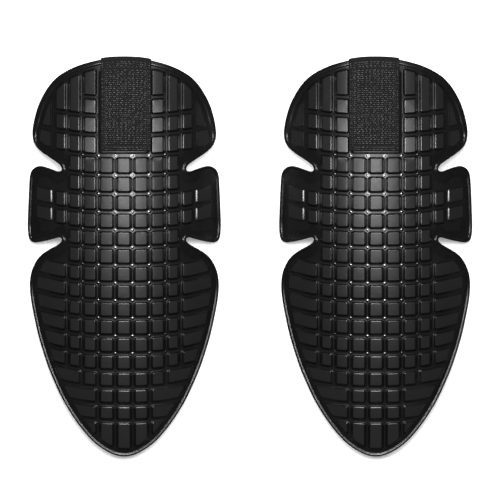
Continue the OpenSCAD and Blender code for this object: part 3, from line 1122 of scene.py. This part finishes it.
def dress(made, side, layer, material):
    for key, obj in made.items():
        obj.data.materials.append(material)
        ride_section(obj, key)
        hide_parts(*[f"{side}_{c}_{layer}" for c in CAD_OF[key]])


def build_guards():
    shell_mat, foam_mat, lining_mat = moulding_material(), foam_material(), lining_material()
    tape_mat, hook_mat, thread_mat = tape_material(), hook_material(), thread_material()
    moulding = build_moulding()
    foam = build_layer(FOAM_RIM, foam_depth, 3.4, front=FOAM_RIM[0][1])
    lining = build_layer(LINING_RIM, lining_depth, 2.2)
    for side in SIDES:
        dress(split_shape(moulding, side, "moulding"), side, "shell", shell_mat)
        cores = split_shape(foam, side, "foam_core")
        dress(cores, side, "foam", foam_mat)
        linings = split_shape(lining, side, "backing")
        dress(linings, side, "lining", lining_mat)
        add_tape(side, tape_mat, hook_mat, thread_mat)


def add_tape(side, tape_mat, hook_mat, thread_mat):
    grid, normal, points, faces = build_tape()
    hooks, hook_faces = build_hooks(grid, normal)
    thread, thread_faces = build_thread(grid, normal)
    for name, p, f, material, node, slot in (
        ("hook_tape", points, faces, tape_mat, "hook_strip", "hook_tape"),
        ("tape_hooks", hooks, hook_faces, hook_mat, "hook_strip", "hook_tape"),
        ("seam_thread", thread, thread_faces, thread_mat, "strip_stitching", "thread"),
    ):
        world = to_world(side, p[:, 0], p[:, 1], p[:, 2])
        obj = make_object(f"{side}_{name}", world, flip_faces(side, f))
        obj.data.materials.append(material)
        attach(obj, f"{side}_thigh")
        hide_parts(f"{side}_{node}")


# ---- the studio ------------------------------------------------------------------

FRAME_WIDTH = 0.376  # what the picture is wide at the height of FOCUS_Z
FOCUS_Z = 0.022
CAMERA_FAR = 8.0
SENSOR = 36.0
CAMERA_Y = 0.0047
FLOOR_FAR = 3.0
FLOOR_GLOW = 0.3  # the table is lit from below a little, as for a catalogue picture
ROOM_LIGHT = 0.07
SOFTBOXES = [  # name, size, place, what it is aimed at, watts
    ("overhead_box", (1.8, 0.60), (0, 0.33, 2.4), (0, 0.03, 0), 68),
    ("overhead_core", (0.42, 0.34), (0, 0.38, 2.3), (0, 0.03, 0), 22),
    ("edge_strip", (1.6, 0.25), (0, 1.75, 2.3), (0, 0, 0), 75),
]


def add_floor():
    mesh = bpy.data.meshes.new("floor")
    corners = [(x * FLOOR_FAR, y * FLOOR_FAR, 0) for x, y in ((-1, -1), (1, -1), (1, 1), (-1, 1))]
    mesh.from_pydata(corners, [], [(0, 1, 2, 3)])
    floor = link_object("floor", mesh)
    n = Nodes("pale_floor")
    cloud = n.noise(3, 2.0, 0.5)
    n.link(n.colours(cloud, (0.3, (0.84, 0.84, 0.84)), (0.7, (0.86, 0.86, 0.86))),
           n.shader.inputs["Base Color"])
    n.shader.inputs["Roughness"].default_value = 0.7
    n.shader.inputs["Emission Color"].default_value = (1, 1, 1, 1)
    n.shader.inputs["Emission Strength"].default_value = FLOOR_GLOW
    mesh.materials.append(n.material)
    floor.visible_glossy = False  # the black shells mirror the lights and the room only


def add_softbox(name, size, place, aim, power):
    lamp = bpy.data.lights.new(name, "AREA")
    lamp.shape = "RECTANGLE"
    lamp.size, lamp.size_y = size
    lamp.energy = power
    obj = link_object(name, lamp)
    obj.location = place
    obj.rotation_euler = (Vector(place) - Vector(aim)).to_track_quat("Z", "Y").to_euler()


def add_camera():
    cam = bpy.data.cameras.new("camera")
    cam.sensor_width = SENSOR
    cam.lens = SENSOR * (CAMERA_FAR - FOCUS_Z) / FRAME_WIDTH
    cam.clip_start, cam.clip_end = 0.05, 20
    obj = link_object("camera", cam)
    obj.location = (0, CAMERA_Y, CAMERA_FAR)
    bpy.context.scene.camera = obj


def add_studio():
    add_floor()
    add_camera()
    for softbox in SOFTBOXES:
        add_softbox(*softbox)
    world = bpy.data.worlds.new("studio")
    world.use_nodes = True
    back = world.node_tree.nodes["Background"]
    back.inputs["Color"].default_value = (1, 1, 1, 1)
    back.inputs["Strength"].default_value = ROOM_LIGHT
    bpy.context.scene.world = world
    bpy.context.scene.view_settings.view_transform = "Standard"


add_studio()
build_guards()
